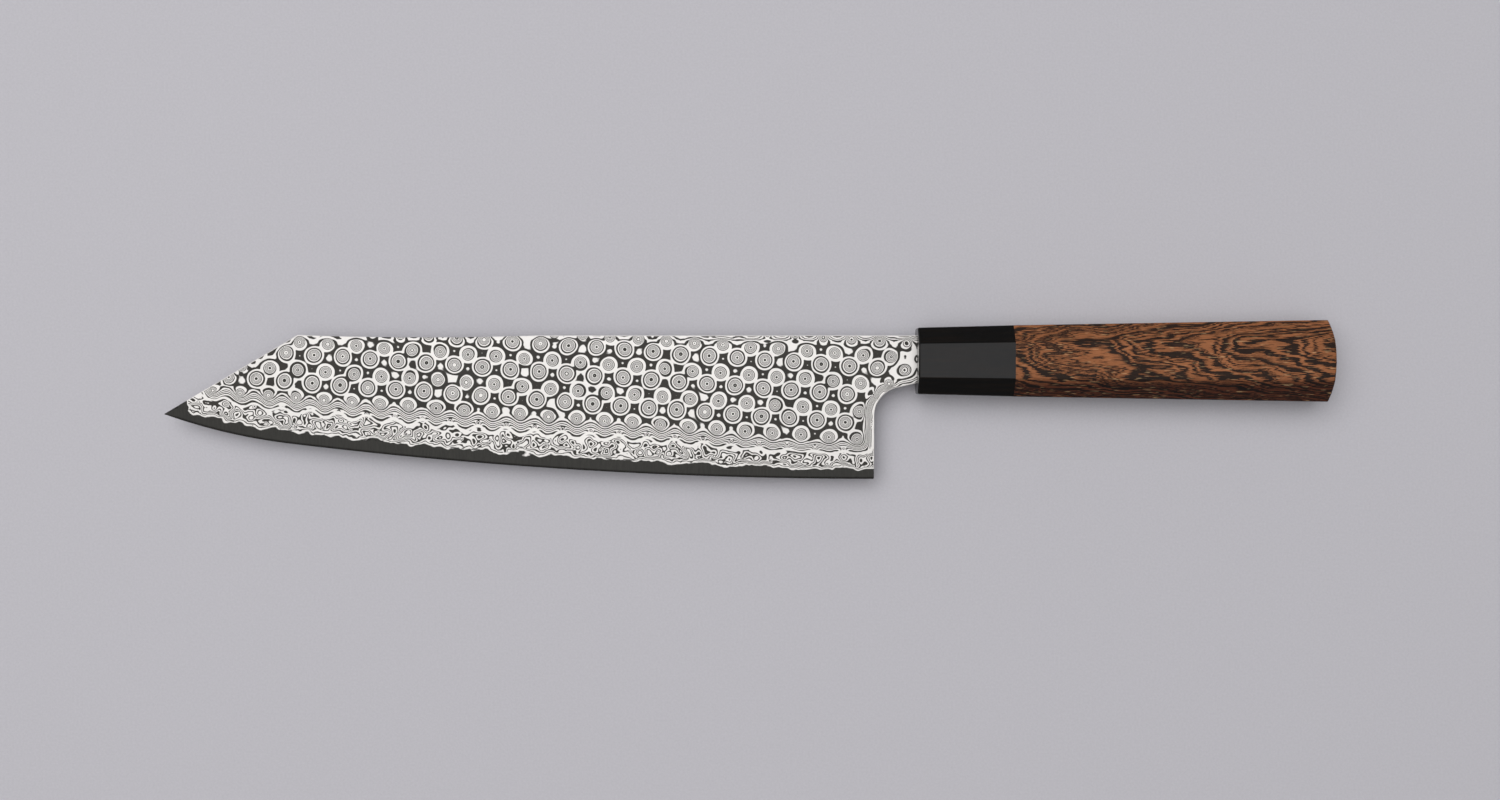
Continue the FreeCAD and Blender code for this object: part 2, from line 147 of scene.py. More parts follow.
def low_y(x):
    """Lower outline: the edge, the heel's rounded corner, the choil, the neck and the tang."""
    if x <= 0:
        y = edge_y(x)
        if x > -HEEL_CORNER:
            y += HEEL_CORNER - math.sqrt(HEEL_CORNER ** 2 - (x + HEEL_CORNER) ** 2)
        return y
    if x <= CHOIL_X:
        return HEEL_TOP_Y + math.sqrt(CHOIL_RADIUS ** 2 - (x - CHOIL_RADIUS) ** 2)
    tang = (
        (CHOIL_X, CHOIL_Y),
        (NECK_LENGTH, -NECK_DROP),
        (SHOULDER_X, -NECK_DROP),
        (TANG_START, -TANG_ROOT),
        (TANG_END, -TANG_TIP),
    )
    return ease(x, tang)


def half_thickness(x, y):
    """Half the blade's thickness: a flat bevel above the edge, then a crowned flank."""
    low = edge_y(min(x, 0.0))
    rise = y - low
    if rise <= BEVEL_HEIGHT:
        return HALF_EDGE + (HALF_BEVEL - HALF_EDGE) * max(rise, 0.0) / BEVEL_HEIGHT
    span = SECTION_TOP - low - BEVEL_HEIGHT
    share = (rise - BEVEL_HEIGHT) / span
    crown = span ** 2 / (2 * FLANK_RADIUS) * share * (1 - share)
    return HALF_BEVEL + (ease(x, HALF_SPINE) - HALF_BEVEL) * share + crown


# ----------------------------------------------------------------- blade mesh

# Rows down each column and columns along each stretch, then turns in degrees and distances in mm.
UPPER_ROWS = 26
LOWER_ROWS = 16
BEVEL_ROWS = 4
EDGE_ROWS = 5
POINT_COLUMNS = 72
BODY_COLUMNS = 300
NECK_COLUMNS = 8
SHOULDER_COLUMNS = 4
STEP_COLUMNS = 2
TANG_COLUMNS = 30
HEEL_TURNS = range(10, 90, 10)
CHOIL_TURNS = range(4, 76, 4)
PLACE_DIGITS = 5
MERGE_DISTANCE = 0.002
SLIVER_DISTANCE = 0.001
RIM_ROUNDING = 0.22
ROUNDING_SEGMENTS = 2
FAR_AWAY = 99.0
CORE_RISE = BEVEL_HEIGHT * (HALF_CORE - HALF_EDGE) / (HALF_BEVEL - HALF_EDGE)
GUIDE_SHARE = (SPINE_Y - HEEL_TOP_Y) / (SPINE_Y - HEEL_Y)


def spread(start, end, count):
    """Evenly spaced values from start to end, both included."""
    return [start + (end - start) * index / count for index in range(count + 1)]


def column_rows(x, with_edge):
    """Heights down one column, from the spine to the edge or to the core line."""
    top = top_y(x)
    low = low_y(x)
    if x > 0:
        return spread(top, low, UPPER_ROWS)
    bevel = min(low + BEVEL_HEIGHT, top)
    core = min(low + CORE_RISE, top)
    guide = max(top + (low - top) * GUIDE_SHARE, bevel)
    rows = spread(top, guide, UPPER_ROWS)
    rows += spread(guide, bevel, LOWER_ROWS)[1:]
    rows += spread(bevel, core, BEVEL_ROWS)[1:]
    if with_edge:
        rows += spread(core, low, EDGE_ROWS)[1:]
    return rows


def column_places():
    """Columns close together where the outline turns, wider where it is straight."""
    places = spread(-BLADE_LENGTH, CLIP_X, POINT_COLUMNS)
    places += spread(CLIP_X, -HEEL_CORNER, BODY_COLUMNS)
    places += [-HEEL_CORNER * math.cos(math.radians(turn)) for turn in HEEL_TURNS]
    places += [0.0]
    places += [CHOIL_RADIUS * (1 - math.cos(math.radians(turn))) for turn in CHOIL_TURNS]
    places += spread(CHOIL_X, NECK_LENGTH, NECK_COLUMNS)
    places += spread(NECK_LENGTH, SHOULDER_X, SHOULDER_COLUMNS)
    places += spread(SHOULDER_X, TANG_START, STEP_COLUMNS)
    places += spread(TANG_START, TANG_END, TANG_COLUMNS)
    return sorted(set(round(place, PLACE_DIGITS) for place in places))


def outline_distance(x, y):
    """Shortest way to the spine, the clipped point or the back of the heel."""
    clip_y = SPINE_Y + CLIP_RISE
    tip_y = edge_y(-BLADE_LENGTH)
    run = CLIP_X + BLADE_LENGTH
    rise = clip_y - tip_y
    clip = (rise * (x + BLADE_LENGTH) - run * (y - tip_y)) / math.hypot(run, rise)
    spine = SPINE_Y - y if x > CLIP_X else FAR_AWAY
    return min(spine, clip, heel_distance(x, y))


def heel_distance(x, y):
    """Way to the back of the heel, the choil or the underside of the neck."""
    if y < HEEL_TOP_Y:
        return max(-x, 0.0)
    if x < CHOIL_X:
        return max(math.hypot(x - CHOIL_RADIUS, y - HEEL_TOP_Y) - CHOIL_RADIUS, 0.0)
    return max((y - low_y(x)) * math.cos(NECK_SLOPE), 0.0)


def edge_rise(x, y):
    """Height above the cutting edge, or above the level of the heel behind it."""
    return y - edge_y(min(x, 0.0))


def build_shell(name, with_edge, left_z, right_z, rounded):
    """Closed blade layer between two surfaces given as heights above the middle plane.

    The rims of the sides listed in rounded, 0 for left and 1 for right, are marked for rounding.
    """
    mesh = bmesh.new()
    rise_layer = mesh.verts.layers.float.new("edge_rise")
    heel_layer = mesh.verts.layers.float.new("heel_distance")
    rim_layer = mesh.verts.layers.float.new("rim_distance")
    bevel_layer = mesh.edges.layers.float.new("bevel_weight_edge")
    columns = []
    for x in column_places():
        rows = column_rows(x, with_edge)
        column = []
        for y in rows:
            pair = []
            for surface in (left_z, right_z):
                place = ((HEEL_X + x) * MM, (AXIS_Y + y) * MM, (MIDDLE_Z + surface(x, y)) * MM)
                vert = mesh.verts.new(place)
                vert[rise_layer] = edge_rise(x, y)
                vert[heel_layer] = heel_distance(x, y)
                vert[rim_layer] = max(outline_distance(x, y), 0.0)
                pair.append(vert)
            column.append(pair)
        columns.append(column)

    def add_face(corners):
        face = mesh.faces.new(corners)
        face.smooth = True

    walls = {}
    for left_column, right_column in zip(columns, columns[1:]):
        for row in range(min(len(left_column), len(right_column)) - 1):
            cell = [left_column[row], left_column[row + 1], right_column[row + 1], right_column[row]]
            add_face([pair[0] for pair in cell])
            add_face([pair[1] for pair in reversed(cell)])
            for start, end in zip(cell, cell[1:] + cell[:1]):
                key = frozenset((id(start), id(end)))
                walls[key] = None if key in walls else (start, end)
    for wall in walls.values():
        if wall is None:
            continue
        start, end = wall
        add_face([start[0], start[1], end[1], end[0]])
        for side in rounded:
            edge = mesh.edges.get((start[side], end[side]))
            edge[bevel_layer] = 1.0
    bmesh.ops.remove_doubles(mesh, verts=mesh.verts, dist=MERGE_DISTANCE * MM)
    bmesh.ops.dissolve_degenerate(mesh, dist=SLIVER_DISTANCE * MM, edges=mesh.edges)
    bmesh.ops.recalc_face_normals(mesh, faces=mesh.faces)
    data = bpy.data.meshes.new(name)
    mesh.to_mesh(data)
    mesh.free()
    piece = bpy.data.objects.new(name, data)
    bpy.context.scene.collection.objects.link(piece)
    return piece


def add_rounding(piece):
    bevel = piece.modifiers.new("rounding", "BEVEL")
    bevel.width = RIM_ROUNDING * MM
    bevel.segments = ROUNDING_SEGMENTS
    bevel.limit_method = "WEIGHT"
    bevel.use_clamp_overlap = True
    bevel.harden_normals = False


# ------------------------------------------------------------- node materials

# Places of the Mix node's colour sockets.
MIX_LOW = 6
MIX_HIGH = 7
MIX_RESULT = 2


class Graph:
    """Short names for the shader nodes of one material."""

    def __init__(self, name):
        self.material = bpy.data.materials.new(name)
        self.material.use_nodes = True
        self.tree = self.material.node_tree
        self.tree.nodes.clear()

    def node(self, kind, **settings):
        node = self.tree.nodes.new(kind)
        for key, value in settings.items():
            setattr(node, key, value)
        return node

    def feed(self, socket, value):
        """Link a socket to another node's output, or set it to a fixed value."""
        if isinstance(value, bpy.types.NodeSocket):
            self.tree.links.new(value, socket)
        elif value is not None:
            socket.default_value = value

    def math(self, operation, *values):
        node = self.node("ShaderNodeMath", operation=operation)
        for socket, value in zip(node.inputs, values):
            self.feed(socket, value)
        return node.outputs[0]

    def vector(self, operation, *values):
        node = self.node("ShaderNodeVectorMath", operation=operation)
        for socket, value in zip(node.inputs, values):
            self.feed(socket, value)
        return node.outputs["Value" if operation in ("LENGTH", "DOT_PRODUCT") else "Vector"]

    def axes(self, place):
        """The X, Y and Z of a place."""
        node = self.node("ShaderNodeSeparateXYZ")
        self.feed(node.inputs[0], place)
        return tuple(node.outputs)

    def ramp(self, value, start, end, low=0.0, high=1.0, kind="LINEAR"):
        """Low up to the start, high from the end on, and in between in proportion."""
        node = self.node("ShaderNodeMapRange", interpolation_type=kind, clamp=True)
        for name, item in (
            ("Value", value),
            ("From Min", start),
            ("From Max", end),
            ("To Min", low),
            ("To Max", high),
        ):
            self.feed(node.inputs[name], item)
        return node.outputs["Result"]

    def stripe(self, value, inner, outer):
        """One within the inner distance of zero, fading to nothing at the outer distance."""
        return self.ramp(self.math("ABSOLUTE", value), inner, outer, 1.0, 0.0)

    def curve(self, value, points):
        """Smooth curve through points given in the value's own units."""
        first, last = points[0][0], points[-1][0]
        lowest = min(point[1] for point in points)
        highest = max(point[1] for point in points)
        node = self.node("ShaderNodeFloatCurve")
        track = node.mapping.curves[0]
        places = [((x - first) / (last - first), (y - lowest) / (highest - lowest)) for x, y in points]
        track.points[0].location = places[0]
        track.points[1].location = places[-1]
        for place in places[1:-1]:
            track.points.new(*place)
        for point in track.points:
            point.handle_type = "AUTO_CLAMPED"
        node.mapping.update()
        self.feed(node.inputs["Value"], self.ramp(value, first, last))
        return self.ramp(node.outputs["Value"], 0.0, 1.0, lowest, highest)

    def noise(self, place, scale, detail=2.0, roughness=0.5, dimensions="3D"):
        """Noise from 0 to 1, mostly near 0.5, with about scale waves in a millimetre."""
        node = self.node("ShaderNodeTexNoise", noise_dimensions=dimensions)
        node.inputs["Scale"].default_value = scale
        node.inputs["Detail"].default_value = detail
        node.inputs["Roughness"].default_value = roughness
        self.feed(node.inputs["W" if dimensions == "1D" else "Vector"], place)
        return node.outputs["Fac"]

    def lengthwise(self, place, share, *settings):
        """Noise drawn out along X, whose waves are 1 / share times as long that way."""
        return self.noise(self.vector("MULTIPLY", place, (share, 1.0, 1.0)), *settings)

    def signed(self, noise, reach=1.0, spread=0.25):
        """Noise about zero that stays within plus and minus its reach."""
        return self.ramp(noise, 0.5 - spread, 0.5 + spread, -reach, reach)

    def mix(self, share, low, high):
        node = self.node("ShaderNodeMix", data_type="RGBA")
        self.feed(node.inputs["Factor"], share)
        self.feed(node.inputs[MIX_LOW], low)
        self.feed(node.inputs[MIX_HIGH], high)
        return node.outputs[MIX_RESULT]

    def place(self, origin=(0.0, 0.0, 0.0)):
        """Object coordinates in millimetres from an origin."""
        coordinates = self.node("ShaderNodeTexCoord").outputs["Object"]
        scaled = self.vector("SCALE", coordinates)
        scaled.node.inputs["Scale"].default_value = 1 / MM
        return self.vector("SUBTRACT", scaled, origin)

    def attribute(self, name):
        return self.node("ShaderNodeAttribute", attribute_name=name).outputs["Fac"]

    def finish(self, colour, roughness, height, relief, **fixed):
        """Close the material: a shader whose bumps are relief millimetres high."""
        shader = self.node("ShaderNodeBsdfPrincipled")
        self.feed(shader.inputs["Base Color"], colour)
        self.feed(shader.inputs["Roughness"], roughness)
        for name, value in fixed.items():
            self.feed(shader.inputs[name.replace("_", " ")], value)
        bump = self.node("ShaderNodeBump")
        bump.inputs["Strength"].default_value = 1.0
        bump.inputs["Distance"].default_value = relief * MM
        self.feed(bump.inputs["Height"], height)
        self.feed(shader.inputs["Normal"], bump.outputs["Normal"])
        output = self.node("ShaderNodeOutputMaterial")
        self.feed(output.inputs["Surface"], shader.outputs["BSDF"])
        return self.material


def linear(red, green, blue):
    """Display colour from 0 to 255 as linear light."""
    def one(value):
        value /= 255
        return value / 12.92 if value <= 0.04045 else ((value + 0.055) / 1.055) ** 2.4
    return (one(red), one(green), one(blue), 1.0)


# ---------------------------------------------------- patterned steel material

# The steel is a stack of light and dark layers, and the pattern is what grinding and drilled
# dimples have cut through it. Places are in millimetres from the heel and the handle axis.

# Raindrop pattern: two square sets of dimples, each profile in layers by millimetres from its middle.
DIMPLE_PITCH = 9.5
DIMPLE_TURN = math.radians(4.2)
FIRST_DIMPLE = (-93.6, 4.63)
SECOND_DIMPLE = (-89.7, -1.2)
FIRST_PROFILE = (
    (0, 5.86),
    (0.32, 5.8),
    (2.0, 1.25),
    (2.3, 0.86),
    (2.5, 0.7),
    (2.8, 0.46),
    (3.3, 0.18),
    (3.65, -0.12),
    (4.2, -0.3),
    (4.8, -0.58),
    (5.5, -0.8),
)
SECOND_PROFILE = (
    (0, 4.95),
    (0.3, 4.75),
    (1.9, 0.8),
    (2.08, 0.52),
    (2.6, 0.34),
    (3.0, 0.16),
    (3.45, -0.12),
    (4.2, -0.3),
    (4.8, -0.58),
    (5.5, -0.8),
)
FIRST_SEED = 3.0
SECOND_SEED = 71.0
DIMPLE_DEPTHS = (0.97, 1.03)
DIMPLE_BLEND = 0.75
DIMPLE_WANDER = 0.9

# Tables by millimetres of depth, which is the height above the edge or the way in from the heel.
DIMPLE_SIZE = ((0, 0.35), (8, 0.4), (12, 0.5), (15, 0.66), (18.5, 1.0), (60, 1.0))
GROUND_LAYERS = (
    (0, 14),
    (4.2, 10.0),
    (5.8, 7.4),
    (8.0, 6.3),
    (11.0, 5.7),
    (12.4, 5.2),
    (16.0, 0.85),
    (18, 0.34),
    (60, 0.34),
)
FOLDED_LAYERS = (
    (0, 0.3),
    (4.4, 0.2),
    (5.8, 0.7),
    (7.8, 2.4),
    (9.8, 1.9),
    (11.2, 0.45),
    (13, 0.1),
    (18, 0.02),
    (60, 0.02),
)
SWELL_DEPTHS = (12.5, 17.5)
SWELL_LAYERS = 0.3
SMALL_FOLDS = 0.6
SEAM_DEPTH = 11.5
HEEL_DEPTH = 11.0
HEEL_SLOPE = 1.5
HEEL_BLEND = 5.0

# Tables by millimetres above the edge, and from the outline inwards.
RAGGED_REACH = 0.95
RAGGED_SHARE = ((0, 1.0), (5.0, 1.0), (8.0, 0.4), (11.0, 0.15), (60, 0))
ARCH_HEIGHT = ((0, 0), (6, 0), (9.5, -0.6), (13, -1.05), (16.5, -0.7), (19.5, 0), (60, 0))
RIM_LAYERS = ((0, 3.2), (1.0, 2.0), (2.4, 0.4), (4.5, 0), (60, 0))

# Stretches and a table along the blade, by X.
RISE_STRETCH = ((-BLADE_LENGTH, 1.2), (-195.0, 1.03), (-160.0, 1.0), (-95.0, 1.0), (0.0, 1.3), (40.0, 1.3))
RIM_LINES_GROW = (-75.0, -45.0)
NECK_SHIFT_X = (3.0, 10.0)
NECK_SHIFT = 6.0
NECK_SWEEPS_X = (5.0, 19.0)
NECK_DIMPLES_X = (6.0, 13.0)
NECK_DIMPLE_SHARE = 0.3

CORE_MARGIN = 0.1
BARE_POINT = 8.0
FAR_SIDE_SHIFT = (37.3, 2.1)


def dimples(graph, place, depth, middle, profile, seed):
    """Layers that one square set of dimples adds."""
    moved = graph.vector("SUBTRACT", place, (*middle, 0.0))
    turn = graph.node("ShaderNodeVectorRotate", rotation_type="Z_AXIS")
    graph.feed(turn.inputs["Vector"], moved)
    turn.inputs["Angle"].default_value = DIMPLE_TURN
    cells = graph.vector("MULTIPLY", turn.outputs[0], (1 / DIMPLE_PITCH, 1 / DIMPLE_PITCH, 0.0))
    centred = graph.vector("ADD", cells, (0.5, 0.5, 0.0))
    inside = graph.vector("SUBTRACT", graph.vector("FRACTION", centred), (0.5, 0.5, 0.0))
    radius = graph.vector("LENGTH", graph.vector("MULTIPLY", inside, (DIMPLE_PITCH, DIMPLE_PITCH, 0.0)))
    identity = graph.vector("ADD", graph.vector("FLOOR", centred), (seed, seed, 0.0))
    chance = graph.node("ShaderNodeTexWhiteNoise", noise_dimensions="2D")
    graph.feed(chance.inputs["Vector"], identity)
    drilled = graph.ramp(chance.outputs["Value"], 0.0, 1.0, *DIMPLE_DEPTHS)
    size = graph.curve(depth, DIMPLE_SIZE)
    layers = graph.curve(graph.math("DIVIDE", radius, size), profile)
    return graph.math("MULTIPLY", graph.math("MULTIPLY", layers, drilled), size)


def all_dimples(graph, flat, x, depth):
    """Both sets of dimples, blended where they meet and weaker in the neck."""
    wander = graph.noise(flat, 0.07, 1.0).node.outputs["Color"]
    wander = graph.vector("SUBTRACT", wander, (0.5, 0.5, 0.5))
    wander = graph.vector("MULTIPLY", wander, (DIMPLE_WANDER, DIMPLE_WANDER, 0.0))
    warped = graph.vector("ADD", flat, wander)
    first = dimples(graph, warped, depth, FIRST_DIMPLE, FIRST_PROFILE, FIRST_SEED)
    second = dimples(graph, warped, depth, SECOND_DIMPLE, SECOND_PROFILE, SECOND_SEED)
    both = graph.math("SMOOTH_MAX", first, second, DIMPLE_BLEND)
    return graph.math("MULTIPLY", both, graph.ramp(x, *NECK_DIMPLES_X, 1.0, NECK_DIMPLE_SHARE))


def uneven_rise(graph, flat, x, ragged):
    """Height above the edge, ragged low down and arched below the lowest row of dimples."""
    edge = graph.attribute("edge_rise")
    rise = graph.math("MULTIPLY", edge, graph.curve(x, RISE_STRETCH))
    rise = graph.math("MULTIPLY_ADD", ragged, graph.curve(edge, RAGGED_SHARE), rise)
    row = (math.cos(DIMPLE_TURN), -math.sin(DIMPLE_TURN), 0.0)
    along = graph.vector("DOT_PRODUCT", graph.vector("SUBTRACT", flat, (*FIRST_DIMPLE, 0.0)), row)
    arches = graph.math("COSINE", graph.math("MULTIPLY", along, 2 * math.pi / DIMPLE_PITCH))
    return graph.math("MULTIPLY_ADD", arches, graph.curve(edge, ARCH_HEIGHT), rise)


def ground_depth(graph, rise, x):
    """The rise, but no more than the way in from the back of the heel allows."""
    heel = graph.attribute("heel_distance")
    heel = graph.math("ADD", heel, graph.ramp(x, *NECK_SHIFT_X, 0.0, NECK_SHIFT))
    beside_heel = graph.math("MULTIPLY_ADD", heel, HEEL_SLOPE, HEEL_DEPTH)
    return graph.math("SMOOTH_MIN", rise, beside_heel, HEEL_BLEND)


def cut_layers(graph, flat, x, depth, rim, waves):
    """Number of layers cut through at each place."""
    swell = graph.signed(graph.noise(flat, 0.08, 1.0), SWELL_LAYERS, 0.2)
    swell = graph.math("MULTIPLY", swell, graph.ramp(depth, *SWELL_DEPTHS))
    folded = graph.curve(depth, FOLDED_LAYERS)
    small_folds = graph.signed(graph.noise(flat, 0.36, 0.0))
    rim_lines = graph.curve(rim, RIM_LAYERS)
    rim_share = graph.ramp(x, *RIM_LINES_GROW, 0.3, 1.0)
    sweeps = graph.math("MULTIPLY_ADD", waves, 1.2, 1.6)
    layers = graph.math("ADD", graph.curve(depth, GROUND_LAYERS), swell)
    layers = graph.math("MULTIPLY_ADD", rim_lines, rim_share, layers)
    layers = graph.math("MULTIPLY_ADD", waves, folded, layers)
    layers = graph.math("MULTIPLY_ADD", small_folds, graph.math("MULTIPLY", folded, SMALL_FOLDS), layers)
    layers = graph.math("MULTIPLY_ADD", sweeps, graph.ramp(x, *NECK_SWEEPS_X), layers)
    return graph.math("SUBTRACT", layers, all_dimples(graph, flat, x, depth))


def layer_tone(graph, layers):
    """One on a light layer and zero on a dark one, with layers of uneven thickness."""
    uneven = graph.signed(graph.noise(layers, 0.55, 1.0, dimensions="1D"), 1.0, 0.2)
    phase = graph.math("MULTIPLY_ADD", uneven, 0.8, graph.math("MULTIPLY", layers, 2 * math.pi))
    return graph.ramp(graph.math("COSINE", phase), -0.3, 0.15, kind="SMOOTHSTEP")


def damascus():
    """Etched layered steel with the dark core bare along the edge and at the point."""
    graph = Graph("patterned_steel")
    place = graph.place((HEEL_X, AXIS_Y, MIDDLE_Z))
    x, _, z = graph.axes(place)
    far_side = graph.math("LESS_THAN", z, 0.0)
    shift = graph.node("ShaderNodeCombineXYZ")
    for socket, distance in zip(shift.inputs, FAR_SIDE_SHIFT):
        graph.feed(socket, graph.math("MULTIPLY", far_side, distance))
    flat = graph.vector("ADD", graph.vector("MULTIPLY", place, (1.0, 1.0, 0.0)), shift.outputs[0])

    rim = graph.attribute("rim_distance")
    ragged = graph.signed(graph.noise(flat, 0.24, 1.5, 0.45), RAGGED_REACH, 0.2)
    waves = graph.signed(graph.noise(flat, 0.17, 1.0))
    rise = uneven_rise(graph, flat, x, ragged)
    depth = ground_depth(graph, rise, x)
    tone = layer_tone(graph, cut_layers(graph, flat, x, depth, rim, waves))

    # The core is covered above an uneven line and behind the point.
    line = graph.math("SUBTRACT", rise, CORE_RISE + CORE_MARGIN)
    from_point = graph.math("ADD", x, BLADE_LENGTH - BARE_POINT)
    line = graph.math("MINIMUM", line, graph.math("ADD", from_point, ragged))
    covered = graph.ramp(line, -0.12, 0.12)

    # Light lines: along the core's outline, along the seam below the dimples, and on the rim, which is
    # polished steel with a painted highlight along its rounded edge.
    outline = graph.stripe(graph.math("SUBTRACT", line, 0.3), 0.22, 0.38)
    seam = graph.math("MULTIPLY_ADD", waves, 0.5, graph.math("SUBTRACT", depth, SEAM_DEPTH))
    # Partly painted highlight: the light stripe on the rounded rim stands in for light catching the edge,
    # besides the unetched polish.
    polished_and_glint = graph.math("MULTIPLY", graph.stripe(rim, 0.12, 0.3), 0.9)
    for light_line in (outline, graph.stripe(seam, 0.42, 0.6), polished_and_glint):
        tone = graph.math("MAXIMUM", tone, light_line)

    grain = graph.noise(graph.vector("MULTIPLY", place, (1.0, 0.12, 1.0)), 2.4, 3.0)
    grain = graph.signed(grain, 1.0, 0.2)
    cloud = graph.noise(place, 0.05)
    dark = graph.mix(cloud, linear(48, 46, 43), linear(66, 63, 58))
    bright = graph.mix(cloud, linear(212, 209, 205), linear(228, 225, 220))
    steel = graph.mix(tone, dark, bright)
    core = graph.mix(graph.ramp(grain, -1.0, 1.0), linear(50, 49, 46), linear(60, 59, 55))
    colour = graph.mix(covered, core, steel)
    raised = graph.math("MULTIPLY", tone, covered)
    roughness = graph.math("MULTIPLY_ADD", grain, 0.02, graph.ramp(raised, 0.0, 1.0, 0.5, 0.36))
    height = graph.math("MULTIPLY_ADD", grain, 0.05, raised)
    return graph.finish(colour, roughness, height, 0.012, Metallic=0.6)


# ------------------------------------------------------------ handle materials

# The wood's growth layers run nearly level with the blade: their direction, and how far they bend.
GROWTH_DIRECTION = (0.095, 0.22, 1.0)
GROWTH_BENDS = 1.5
GROWTH_JAGS = 0.42
# Painted shade: the wood turns darker from the first Y to the second, over the lower chamfer, standing in
# for less light falling there; the share is how far it goes.
PAINTED_SHADE_Y = (-5.0, -8.5)
PAINTED_SHADE_SHARE = 0.9


def wenge():
    """Dark layered wood: pale bands between dark ones, with fine pores along the grain, and painted shade
    darkening its lower side.
    """
    graph = Graph("dark_wood")
    place = graph.place((handle_low.x / MM, AXIS_Y, MIDDLE_Z))
    bends = graph.signed(graph.lengthwise(place, 0.35, 0.13))
    jags = graph.signed(graph.lengthwise(place, 0.06, 2.6, 3.0, 0.6))
    level = graph.vector("DOT_PRODUCT", place, GROWTH_DIRECTION)
    level = graph.math("MULTIPLY_ADD", bends, GROWTH_BENDS, level)
    level = graph.math("MULTIPLY_ADD", jags, GROWTH_JAGS, level)
    band = graph.noise(level, 1.7, 1.0, dimensions="1D")
    band = graph.ramp(band, 0.49, 0.55, kind="SMOOTHSTEP")
    streaks = graph.lengthwise(place, 0.06, 3.2, 2.0, 0.6)
    pores = graph.ramp(streaks, 0.6, 0.68)
    flecks = graph.ramp(graph.lengthwise(place, 0.1, 2.6, 1.0), 0.66, 0.74)
    tint = graph.noise(place, 0.12)
    dark = graph.mix(tint, linear(30, 18, 12), linear(48, 33, 24))
    pale = graph.mix(tint, linear(132, 82, 50), linear(176, 113, 73))
    colour = graph.mix(band, dark, pale)
    _, y, _ = graph.axes(place)
    # Painted shade on the lower side: darker copies of the band colours, mixed in by Y.
    painted_shade_colour = graph.mix(band, linear(12, 5, 3), linear(74, 34, 20))
    colour = graph.mix(graph.ramp(y, *PAINTED_SHADE_Y, 0.0, PAINTED_SHADE_SHARE), colour, painted_shade_colour)
    colour = graph.mix(graph.math("MULTIPLY", pores, 0.55), colour, linear(40, 27, 20))
    colour = graph.mix(graph.math("MULTIPLY", flecks, 0.5), colour, linear(214, 176, 128))
    roughness = graph.ramp(streaks, 0.3, 0.7, 0.5, 0.62)
    height = graph.math("MULTIPLY_ADD", pores, -1.0, graph.math("MULTIPLY", band, 0.25))
    return graph.finish(colour, roughness, height, 0.03, Specular_IOR_Level=0.2)


def horn():
    """Polished black horn with faint brown streaks along its length."""
    graph = Graph("black_horn")
    place = graph.place((ferrule_low.x / MM, AXIS_Y, MIDDLE_Z))
    streaks = graph.lengthwise(place, 0.06, 0.9, 3.0)
    colour = graph.mix(graph.ramp(streaks, 0.45, 0.75), linear(5, 4, 3), linear(20, 13, 7))
    haze = graph.lengthwise(place, 0.2, 2.0, 3.0)
    roughness = graph.ramp(haze, 0.3, 0.7, 0.16, 0.24)
    return graph.finish(colour, roughness, haze, 0.004, Specular_IOR_Level=0.24)


def dowel_wood():
    """Pale straight-grained wood, hidden inside the handle."""
    graph = Graph("dowel_wood")
    place = graph.place((handle_low.x / MM, AXIS_Y, MIDDLE_Z))
    rings = graph.lengthwise(place, 0.04, 0.8, 3.0)
    fibres = graph.lengthwise(place, 0.05, 5.0)
    share = graph.math("MULTIPLY_ADD", fibres, 0.4, graph.math("MULTIPLY", rings, 0.6))
    colour = graph.mix(graph.ramp(share, 0.35, 0.65), linear(196, 160, 112), linear(226, 196, 150))
    return graph.finish(colour, graph.ramp(fibres, 0.3, 0.7, 0.6, 0.75), fibres, 0.02)


def adhesive():
    """Set resin, slightly cloudy, hidden inside the handle."""
    graph = Graph("adhesive")
    place = graph.place((ferrule_low.x / MM, AXIS_Y, MIDDLE_Z))
    cloud = graph.noise(place, 0.6)
    colour = graph.mix(cloud, linear(206, 188, 142), linear(226, 212, 172))
    return graph.finish(colour, graph.ramp(cloud, 0.3, 0.7, 0.28, 0.4), cloud, 0.05)


# --------------------------------------------------------------------- pieces

def core_z(x, y):
    return min(half_thickness(x, y), HALF_CORE)


def outer_z(x, y):
    return max(half_thickness(x, y), HALF_CORE)


steel = damascus()

# For each blade layer: whether it carries the edge, its left and right surfaces, and its rounded sides.
BLADE_LAYERS = {
    "left_cladding": (False, outer_z, lambda x, y: HALF_CORE, (0,)),
    "right_cladding": (False, lambda x, y: -HALF_CORE, lambda x, y: -outer_z(x, y), (1,)),
    "blade_core": (True, core_z, lambda x, y: -core_z(x, y), ()),
}
for node, (with_edge, left_z, right_z, rounded) in BLADE_LAYERS.items():
    piece = build_shell(f"{node}_ground", with_edge, left_z, right_z, rounded)
    if rounded:
        add_rounding(piece)
    piece.data.materials.append(steel)
    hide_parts(node)
    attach(piece, "root")

FINISHES = {
    "ferrule": horn(),
    "handle_body": wenge(),
    "handle_dowel": dowel_wood(),
    "tang_adhesive": adhesive(),
}
FINISHES["dowel_adhesive"] = FINISHES["tang_adhesive"]
for node, material in FINISHES.items():
    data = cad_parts[node].data
    data.materials.clear()
    data.materials.append(material)


# --------------------------------------------------------------------- studio

low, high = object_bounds()
centre = (low + high) / 2

FLOOR_REACH = 10.0
SOFTBOX_PLACE = Vector((-0.32, 0.34, 1.35))
SOFTBOX_SIDE = 1.1
SOFTBOX_WATTS = 8.4
SKY_DIRECTION = Vector((-0.1, 0.1, 1.0)).normalized()
SKY_COLOUR = (1.0, 1.0, 1.02, 1.0)
SKY_EDGE = 0.8
SKY_DIM = 0.2
SKY_BRIGHT = 2.0
CAMERA_LENS = 45.0
CAMERA_SENSOR = 36.0
CAMERA_HEIGHT = 634.0
CAMERA_OFFSET = (0.9, -0.1)


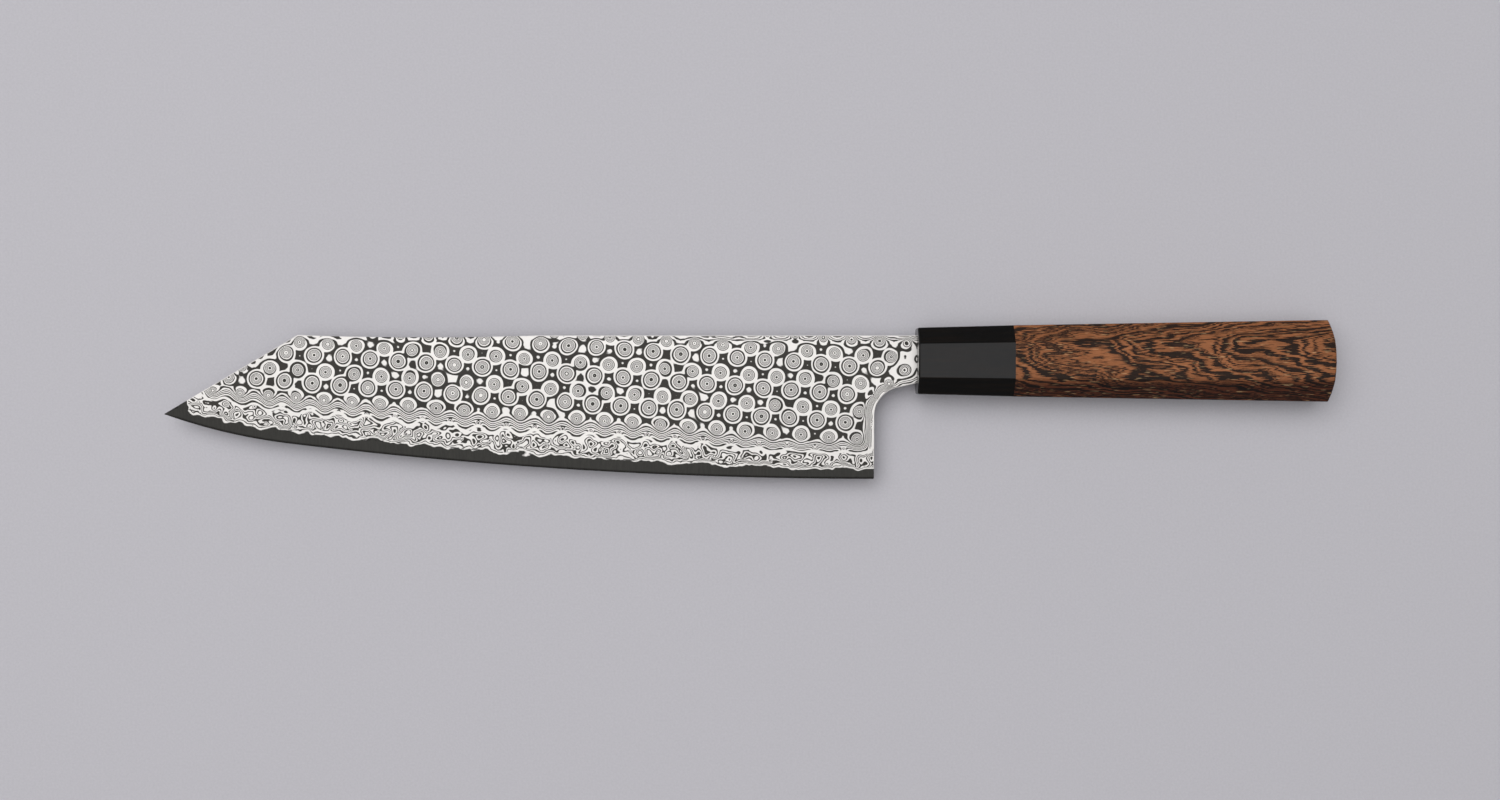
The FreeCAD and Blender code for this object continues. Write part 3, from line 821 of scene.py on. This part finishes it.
def add_floor():
    """Pale paper, far wider than the knife."""
    graph = Graph("paper_floor")
    place = graph.place()
    fibre = graph.noise(place, 1.3, 4.0, 0.65)
    colour = graph.mix(graph.ramp(fibre, 0.3, 0.7), linear(196, 194, 199), linear(204, 202, 207))
    material = graph.finish(colour, graph.ramp(fibre, 0.3, 0.7, 0.85, 0.95), fibre, 0.06)
    corners = [(-1, -1), (1, -1), (1, 1), (-1, 1)]
    places = [(centre.x + x * FLOOR_REACH, centre.y + y * FLOOR_REACH, low.z) for x, y in corners]
    data = bpy.data.meshes.new("floor")
    data.from_pydata(places, [], [(0, 1, 2, 3)])
    data.materials.append(material)
    floor = bpy.data.objects.new("floor", data)
    bpy.context.scene.collection.objects.link(floor)


def add_softbox():
    """Soft light from the upper left, kept out of reflections."""
    data = bpy.data.lights.new("softbox", "AREA")
    data.shape = "SQUARE"
    data.size = SOFTBOX_SIDE
    data.energy = SOFTBOX_WATTS
    light = bpy.data.objects.new("softbox", data)
    light.location = centre + SOFTBOX_PLACE
    light.rotation_mode = "QUATERNION"
    light.rotation_quaternion = (centre - light.location).to_track_quat("-Z", "Y")
    light.visible_glossy = False
    bpy.context.scene.collection.objects.link(light)


def add_sky():
    """Plain light that is brightest almost straight above and dim all round."""
    world = bpy.data.worlds.new("studio")
    world.use_nodes = True
    tree = world.node_tree
    direction = tree.nodes.new("ShaderNodeTexCoord")
    towards = tree.nodes.new("ShaderNodeVectorMath")
    towards.operation = "DOT_PRODUCT"
    towards.inputs[1].default_value = SKY_DIRECTION
    strength = tree.nodes.new("ShaderNodeMapRange")
    strength.interpolation_type = "SMOOTHSTEP"
    strength.inputs["From Min"].default_value = SKY_EDGE
    strength.inputs["From Max"].default_value = 1.0
    strength.inputs["To Min"].default_value = SKY_DIM
    strength.inputs["To Max"].default_value = SKY_BRIGHT
    background = tree.nodes["Background"]
    background.inputs["Color"].default_value = SKY_COLOUR
    tree.links.new(direction.outputs["Generated"], towards.inputs[0])
    tree.links.new(towards.outputs["Value"], strength.inputs["Value"])
    tree.links.new(strength.outputs["Result"], background.inputs["Strength"])
    bpy.context.scene.world = world


def add_camera():
    """Straight down on the blade's left side, from arm's length."""
    data = bpy.data.cameras.new("camera")
    data.lens = CAMERA_LENS
    data.sensor_width = CAMERA_SENSOR
    camera = bpy.data.objects.new("camera", data)
    offset_x, offset_y = CAMERA_OFFSET
    height = (MIDDLE_Z + CAMERA_HEIGHT) * MM
    camera.location = (centre.x + offset_x * MM, centre.y + offset_y * MM, height)
    camera.rotation_euler = (0.0, 0.0, 0.0)
    bpy.context.scene.collection.objects.link(camera)
    bpy.context.scene.camera = camera


add_floor()
add_sky()
add_softbox()
add_camera()
bpy.context.scene.view_settings.view_transform = "Standard"
